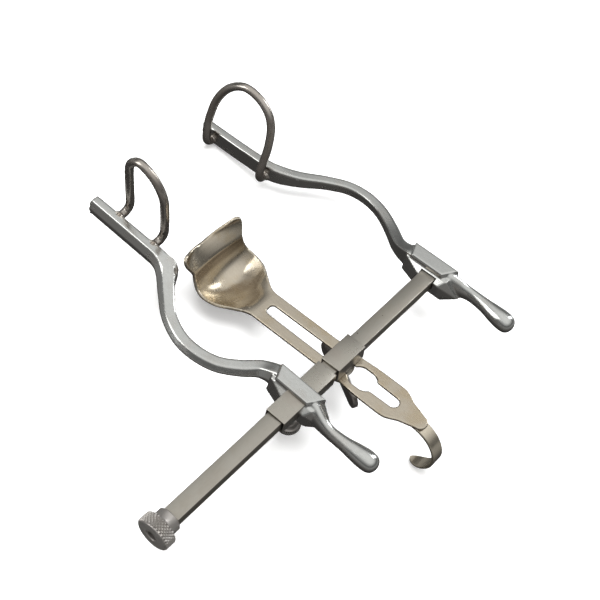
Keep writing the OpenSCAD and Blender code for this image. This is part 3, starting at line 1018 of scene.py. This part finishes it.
class RETRACTOR_OT_thumb_screw(PieceOperator, Operator):
    """Knurled screw under the sliding arm"""

    bl_idname = "retractor.thumb_screw"
    bl_label = "Thumb screw"

    def execute(self, context):
        s = sizes()
        radius = mm(s.screw_diameter) / 2 - mm(s.knurl_depth)
        top, low = SCREW_TOP, SCREW_TOP - SCREW_THICK
        tip = bar_middle() - sleeve_sizes()[3] / 2 - 0.1
        profile = [
            (0.4, low), (radius - 0.7, low), (radius, low + 0.6), (radius, top - 0.6), (radius - 0.7, top),
            (3.1, top), (2.7, top + 0.9), (SHANK_RADIUS, top + 1.1), (SHANK_RADIUS, tip - 0.3), (1.7, tip),
            (0.4, tip),
        ]
        axis = on_slide() @ Matrix.Translation((-SCREW_OFF, 0, 0))
        screw = mesh_object("thumb_screw_body", lathe(profile))
        place(screw, axis, "arm_screw", "knurled_steel", knurl_metal(), "thumb_screw")
        groove_dirt("screw_groove_dirt", axis, "arm_screw", radius, low + 0.65, top - 0.65)
        around, span = 40, SCREW_THICK - 1.1
        knurl(
            "thumb_screw_knurl", axis @ Matrix.Translation((0, 0, low + 0.55)), "arm_screw", "knurled_steel",
            Radius=radius + 0.05, Length=span, Around=around, Rows=1,
            Width=math.pi * radius / around, Height=span * 0.62, Depth=mm(s.knurl_depth) * 1.3,
        )
        return {"FINISHED"}


class RETRACTOR_OT_clamp(PieceOperator, Operator):
    """Sliding clamp: its box, the stud with its guide, and the washer"""

    bl_idname = "retractor.clamp"
    bl_label = "Blade clamp"

    def execute(self, context):
        s = sizes()
        width, thick = mm(s.bar_width), mm(s.bar_thickness)
        low, high = -thick - CLAMP_GAP - 1, CLAMP_GAP + CLAMP_WALL
        bore_w, bore_t = width + 2 * CLAMP_GAP, thick + 2 * CLAMP_GAP
        part = tube_part(CLAMP_LENGTH, bore_w + 2 * CLAMP_WALL, high - low, bore_w, bore_t, (low + high) / 2)
        box = bevel(mesh_object("clamp_housing", part), 0.25)
        place(box, on_clamp(), "clamp", "satin_steel", clamp_metal(), "clamp_box")
        blade_low = BLADE_TOP - mm(s.sheet)
        guide = mm(s.slot_width) / 2 - 0.3
        nut_top = blade_low - 1.2
        guide_part = box_part(-guide, guide, -4.5, 4.5, blade_low + 0.1, low)
        block = bevel(mesh_object("clamp_guide", guide_part), 0.2)
        thread = [(1.75 if k % 2 else SHANK_RADIUS, nut_top - 6 + 0.35 * k) for k in range(18)]
        foot = [(0.4, nut_top - 6.6), (1.6, nut_top - 6.5)]
        head = [(SHANK_RADIUS, low - 0.4), (0.4, low - 0.4)]
        join(block, mesh_object("stem", lathe(foot + thread + head, 40)))
        place(block, on_clamp(), "clamp", "knurled_steel", dark_metal(), "clamp_stud")
        washer_top = blade_low - 0.1
        rings = [
            (SHANK_HOLE, washer_top), (5.2, washer_top), (5.5, washer_top - 0.3), (5.5, washer_top - 0.7),
            (5.2, washer_top - 1), (SHANK_HOLE, washer_top - 1),
        ]
        washer = mesh_object("clamp_ring", ring_part(rings))
        place(washer, on_clamp(), "clamp", "satin_steel", clamp_metal(), "clamp_washer")
        return {"FINISHED"}


class RETRACTOR_OT_wing_nut(PieceOperator, Operator):
    """Wing nut under the clamp"""

    bl_idname = "retractor.wing_nut"
    bl_label = "Wing nut"

    def execute(self, context):
        top = BLADE_TOP - mm(sizes().sheet) - 1.2
        low = top - NUT_HEIGHT
        profile = [(0.3, low), (3.4, low), (3.8, low + 0.4), (3.8, top - 0.3), (3.6, top), (0.3, top)]
        reach, rounding, fall, half = 13.1, 3.4, 6.2, 1.1
        wings = []
        for turn in (244, 64):
            rim = [
                (reach + rounding * math.cos(a), side, top - fall + rounding * math.sin(a))
                for a in (math.tau * k / 20 for k in range(20)) for side in (-half, half)
            ]
            root = [(2.6, a, b) for a in (-1.6, 1.6) for b in (top - 0.7, low + 0.6)]
            wings.append(moved(hull_part(rim + root), Matrix.Rotation(math.radians(turn), 4, "Z")))
        nut = forge(mesh_object("wing_nut_body", lathe(profile, 48), *wings), 0.3, 4)
        cut_away(nut, lathe([(SHANK_HOLE, low - 2), (SHANK_HOLE, top + 2)], 40))
        place(nut, on_clamp(), "clamp_nut", "knurled_steel", dark_metal(), "wing_nut")
        return {"FINISHED"}


# ---------------------------------------------------------------- centre blade

def scoop_rows(half):
    """Rows of the scoop from shank to lip: centre y, centre z, half width, edge y, edge z."""
    body = [
        (SHANK_END - 2.5, 0, 7.6, SHANK_END - 2.5, 0), (SHANK_END + 1, -0.05, 7.9, SHANK_END + 1, 0),
        (46, -0.9, 8.9, 46, 0.1), (50.5, -3, half - 4.6, 50.5, 0.6), (56, -5.4, half - 1.2, 56, 1.2),
        (62, -6.5, half, 62, 1.6), (67.2, -4.6, half - 0.4, 65.6, 3), (70.2, -0.8, half - 0.9, 67.4, 5.4),
        (71.3, 3.2, half - 1.2, 68.3, 8), (71.6, 6.4, half - 1.3, 68.7, 9.8),
    ]
    lip = [
        (71.9, 7, half - 1.2, 69, 10.4), (73.3, 8.6, half - 0.2, 69.9, 12.4),
        (75, 10.3, half + 0.7, 71, 14.8),
        (76.4, 11.5, half + 0.6, 71.9, 16.7), (77, 12, half - 0.4, 72.6, 17.6),
        (77.2, 12.2, half - 2.2, 73.2, 17.7),
    ]
    return smooth(body, 7) + smooth(lip, 4)[1:]


def scoop_part(half, sheet):
    rows = scoop_rows(half)
    columns = 40
    grid = [
        [
            Vector((u * q[2], q[0] + (q[3] - q[0]) * u * u, q[1] + (q[4] - q[1]) * abs(u) ** 2.2 - sheet / 2))
            for u in (2 * j / columns - 1 for j in range(columns + 1))
        ]
        for q in rows
    ]
    last = len(grid) - 1
    rings = []
    for i, row in enumerate(grid):
        normals = []
        for j in range(columns + 1):
            across = row[min(j + 1, columns)] - row[max(j - 1, 0)]
            along = grid[min(i + 1, last)][j] - grid[max(i - 1, 0)][j]
            normals.append(across.cross(along).normalized())
        upper = [tuple(p + n * sheet / 2) for p, n in zip(row, normals)]
        lower = [tuple(p - n * sheet / 2) for p, n in zip(row, normals)]
        rings.append(upper + lower[::-1])
    return skin(rings)


def outline_curve(name, loops, depth, rounding):
    """Flat plate with rounded edges from closed loops; the first is its outline and the rest are holes."""
    curve = bpy.data.curves.new(name, "CURVE")
    curve.dimensions = "2D"
    curve.fill_mode = "BOTH"
    curve.extrude = depth / 2 - rounding
    curve.bevel_depth = rounding
    curve.bevel_resolution = 2
    curve.offset = -rounding
    for loop in loops:
        spline = curve.splines.new("POLY")
        spline.points.add(len(loop) - 1)
        for point, (x, y) in zip(spline.points, loop):
            point.co = (x, y, 0, 1)
        spline.use_cyclic_u = True
    obj = bpy.data.objects.new(name, curve)
    bpy.context.scene.collection.objects.link(obj)
    bpy.context.view_layer.update()
    mesh = bpy.data.meshes.new_from_object(obj.evaluated_get(bpy.context.evaluated_depsgraph_get()))
    bpy.data.objects.remove(obj)
    bm = bmesh.new()
    bm.from_mesh(mesh)
    bmesh.ops.remove_doubles(bm, verts=bm.verts, dist=0.0005)
    bm.verts.index_update()
    part = [tuple(v.co) for v in bm.verts], [tuple(v.index for v in f.verts) for f in bm.faces]
    bm.free()
    return part


def arc(cx, cy, r, start, end, steps=14):
    return [
        (cx + r * math.cos(math.radians(start + (end - start) * k / steps)),
         cy + r * math.sin(math.radians(start + (end - start) * k / steps)))
        for k in range(steps + 1)
    ]


def mirrored(half_loop):
    return half_loop + [(-x, y) for x, y in reversed(half_loop) if abs(x) > 0.001]


def shank_loops(half, slot):
    side = [
        (half, 4), (half, -6), (half + 0.5, -14), (half + 0.6, -26), (half - 0.4, -30),
        (half - 2.2, -33.4), (4.5, -37), (3.5, -40),
    ]
    outline = mirrored(
        [(half, SHANK_END + 1)] + [tuple(p) for p in smooth(side, 5)] + arc(0, -40.4, 3.4, 0, -90)
    )
    key = 4.9
    hole = mirrored(
        arc(0, SHANK_END - 2 - slot, slot, 90, 0)
        + arc(0, -9.5, key, 56, 0, 8) + arc(0, -12.5, key, 0, -56, 8)
        + arc(0, -27, slot, 0, -90)
    )
    return [outline, hole]


class RETRACTOR_OT_centre_blade(PieceOperator, Operator):
    """Slotted centre blade with its scoop and turned lip"""

    bl_idname = "retractor.centre_blade"
    bl_label = "Centre blade"

    def execute(self, context):
        s = sizes()
        sheet = mm(s.sheet)
        plate = outline_curve("plate", shank_loops(mm(s.shank_width) / 2, mm(s.slot_width) / 2), sheet, 0.3)
        plate = moved(plate, Matrix.Translation((0, 0, -sheet / 2)))
        blade = mesh_object("scoop_blade", plate, scoop_part(mm(s.scoop_half_width), sheet))
        forge(blade, 0.34, 3)
        spot = on_clamp() @ Matrix.Translation((0, 0, BLADE_TOP))
        place(blade, spot, "blade", "warm_sheet", blade_metal(), "centre_blade", sharp=0)
        return {"FINISHED"}


class RETRACTOR_OT_blade_hook(PieceOperator, Operator):
    """Finger hook brazed under the centre blade's tongue"""

    bl_idname = "retractor.blade_hook"
    bl_label = "Finger hook"

    def execute(self, context):
        sheet = mm(sizes().sheet)
        radius, width, start, turn, taper = 13.4 - sheet / 2, 6.0, -39, 172, 0.80
        path = [((0, y, -sheet / 2), (0, 0, 1), 1.0) for y in (-33.5, -35, -37)]
        steps = 64
        for k in range(steps + 1):
            a = math.radians(turn) * k / steps
            out = (0, -math.sin(a), math.cos(a))
            past = max(0.0, (k / steps - taper) / (1 - taper))
            narrow = math.sqrt(max(0.004, 1 - past ** 2))
            path.append(((0, start + radius * out[1], -sheet / 2 - radius + radius * out[2]), out, narrow))
        rings = []
        for point, out, narrow in path:
            half, thick, c = width / 2 * narrow, sheet / 2, 0.28
            c = min(c, half * 0.5)
            shape = [
                (half, -thick + c), (half, thick - c), (half - c, thick), (-half + c, thick),
                (-half, thick - c), (-half, -thick + c), (-half + c, -thick), (half - c, -thick),
            ]
            rings.append([tuple(Vector(point) + Vector((a, 0, 0)) + Vector(out) * b) for a, b in shape])
        hook = mesh_object("finger_hook", skin(rings))
        place(hook, on_clamp() @ Matrix.Translation((0, 0, BLADE_TOP - sheet)), "blade", "satin_steel",
              hook_metal(), "blade_hook", sharp=30)
        return {"FINISHED"}


class RETRACTOR_OT_fixed_arm_pin(PieceOperator, Operator):
    """Pin that holds the crossbar in the fixed arm"""

    bl_idname = "retractor.fixed_arm_pin"
    bl_label = "Fixed arm's pin"

    def execute(self, context):
        low, radius = -BOSS_LOW + 0.05, 1.5
        profile = [
            (0.3, low - 0.2), (radius - 0.4, low - 0.15), (radius - 0.05, low + 0.1), (radius, low + 0.4),
            (radius, -0.4), (0.3, -0.4),
        ]
        spot = on_fixed_arm() @ Matrix.Translation((-PIN_OFF, 0, 0))
        pin = mesh_object("cross_pin", lathe(profile, 48))
        place(pin, spot, "frame", "satin_steel", dark_metal(), "right_pin")
        return {"FINISHED"}


# ---------------------------------------------------------------- stage

def area_light(name, at, towards, size, energy, tone, mirrored):
    """Soft rectangular light; the metal shows it only when it is mirrored."""
    light = bpy.data.lights.new(name, "AREA")
    light.shape = "RECTANGLE"
    light.size, light.size_y = size
    light.energy = energy
    light.color = tone
    obj = bpy.data.objects.new(name, light)
    obj.location = at
    obj.rotation_euler = (Vector(towards) - Vector(at)).to_track_quat("-Z", "Y").to_euler()
    obj.visible_glossy = mirrored
    bpy.context.scene.collection.objects.link(obj)


def studio_world():
    """Pale room with a darker band near the horizon, which the metal mirrors; plain white behind."""
    world = bpy.data.worlds.new("studio")
    bpy.context.scene.world = world
    world.use_nodes = True
    tree = world.node_tree
    tree.nodes.clear()
    where = tree.nodes.new("ShaderNodeTexCoord")
    split = tree.nodes.new("ShaderNodeSeparateXYZ")
    ramp = tree.nodes.new("ShaderNodeValToRGB")
    stops = [
        (0.0, 0.06), (0.15, 0.10), (0.36, 0.28), (0.5, 0.30), (0.58, 0.13), (0.68, 0.20), (0.80, 0.52),
        (0.9, 0.86), (1.0, 1.0),
    ]
    band = ramp.color_ramp
    while len(band.elements) < len(stops):
        band.elements.new(0.5)
    for element, (position, level) in zip(band.elements, stops):
        element.position = position
        element.color = (level, level * 0.985, level * 0.96, 1)
    soft = tree.nodes.new("ShaderNodeBackground")
    plain = tree.nodes.new("ShaderNodeBackground")
    plain.inputs["Color"].default_value = (1, 1, 1, 1)
    seen = tree.nodes.new("ShaderNodeLightPath")
    choose = tree.nodes.new("ShaderNodeMixShader")
    out = tree.nodes.new("ShaderNodeOutputWorld")
    tree.links.new(where.outputs["Generated"], split.inputs["Vector"])
    tree.links.new(map_range(tree, split.outputs["Z"], -1.0, 1.0, kind="LINEAR"), ramp.inputs["Fac"])
    tree.links.new(ramp.outputs["Color"], soft.inputs["Color"])
    tree.links.new(seen.outputs["Is Camera Ray"], choose.inputs["Fac"])
    tree.links.new(soft.outputs["Background"], choose.inputs[1])
    tree.links.new(plain.outputs["Background"], choose.inputs[2])
    tree.links.new(choose.outputs["Shader"], out.inputs["Surface"])


def floor_material():
    material = bpy.data.materials.new("plain_floor")
    material.use_nodes = True
    shader = material.node_tree.nodes["Principled BSDF"]
    shader.inputs["Base Color"].default_value = list(finishes().floor) + [1.0]
    shader.inputs["Roughness"].default_value = 0.9
    shader.inputs["Specular IOR Level"].default_value = 0.1
    shader.inputs["Emission Color"].default_value = (1, 1, 1, 1)
    shader.inputs["Emission Strength"].default_value = 0.22
    return material


def place_camera():
    """Long lens, above and in front of the knob, turned a little about its own axis."""
    at = Vector((-163.4, -153.9, 431.9))
    around, above, roll = (math.radians(a) for a in (-55.755, 52.875, 8.246))
    level = math.cos(above)
    back = Vector((math.sin(around) * level, -math.cos(around) * level, math.sin(above)))
    right = Vector((math.cos(around), math.sin(around), 0))
    up = back.cross(right)
    turned_right = right * math.cos(roll) + up * math.sin(roll)
    turned_up = up * math.cos(roll) - right * math.sin(roll)
    stand = on_table()
    turn = Matrix.Rotation(-lie_angle(), 3, "X") @ Matrix((turned_right, turned_up, back)).transposed()
    data = bpy.data.cameras.new("camera")
    data.lens = 78.84
    data.sensor_width = 36
    data.clip_start, data.clip_end = 0.01, 20
    camera = bpy.data.objects.new("camera", data)
    camera.matrix_world = Matrix.Translation(stand @ at) @ turn.to_4x4()
    bpy.context.scene.collection.objects.link(camera)
    bpy.context.scene.camera = camera


class RETRACTOR_OT_stage(PieceOperator, Operator):
    """Pale floor, soft studio light and the camera"""

    bl_idname = "retractor.stage"
    bl_label = "Stage"

    def execute(self, context):
        reach = 3.0
        floor = mesh_object("floor", box_part(-reach, reach, -reach, reach, -0.02, 0))
        floor.data.materials.append(floor_material())
        floor.visible_glossy = False  # the metal mirrors the room, not the white floor
        studio_world()
        area_light("overhead", (0.12, 0.10, 0.95), (0, 0, 0), (0.7, 0.7), 11, (1, 1, 1), False)
        area_light("back_left", (-0.75, 0.75, 0.55), (0, 0, 0.02), (0.5, 0.9), 4, (1, 0.985, 0.96), True)
        area_light("right_strip", (0.85, -0.15, 0.45), (0, 0, 0.02), (0.2, 0.8), 2.5, (0.97, 0.985, 1), True)
        place_camera()
        context.scene.view_settings.view_transform = "Standard"
        return {"FINISHED"}


# ---------------------------------------------------------------- panel and registration

PIECES = (
    RETRACTOR_OT_stage, RETRACTOR_OT_crossbar, RETRACTOR_OT_end_knob, RETRACTOR_OT_arms, RETRACTOR_OT_sleeve,
    RETRACTOR_OT_wire_blades, RETRACTOR_OT_thumb_screw, RETRACTOR_OT_clamp, RETRACTOR_OT_wing_nut,
    RETRACTOR_OT_centre_blade, RETRACTOR_OT_blade_hook, RETRACTOR_OT_fixed_arm_pin,
)


class RETRACTOR_PT_panel(Panel):
    """Lists the retractor's pieces, sizes and colours"""

    bl_idname = "RETRACTOR_PT_panel"
    bl_label = "Frame Retractor"
    bl_space_type = "VIEW_3D"
    bl_region_type = "UI"
    bl_category = "Retractor"

    def draw(self, context):
        for piece in PIECES:
            self.layout.operator(piece.bl_idname)
        for group in (context.scene.retractor_sizes, context.scene.retractor_finishes):
            box = self.layout.box()
            for name in group.__annotations__:
                box.prop(group, name)


CLASSES = (RetractorSizes, RetractorFinishes, *PIECES, RETRACTOR_PT_panel)


def register():
    for cls in CLASSES:
        bpy.utils.register_class(cls)
    bpy.types.Scene.retractor_sizes = PointerProperty(type=RetractorSizes)
    bpy.types.Scene.retractor_finishes = PointerProperty(type=RetractorFinishes)


def unregister():
    del bpy.types.Scene.retractor_finishes
    del bpy.types.Scene.retractor_sizes
    for cls in reversed(CLASSES):
        bpy.utils.unregister_class(cls)


def main():
    register()
    for piece in PIECES:
        group, name = piece.bl_idname.split(".")
        getattr(getattr(bpy.ops, group), name)()


if __name__ == "__main__":
    main()
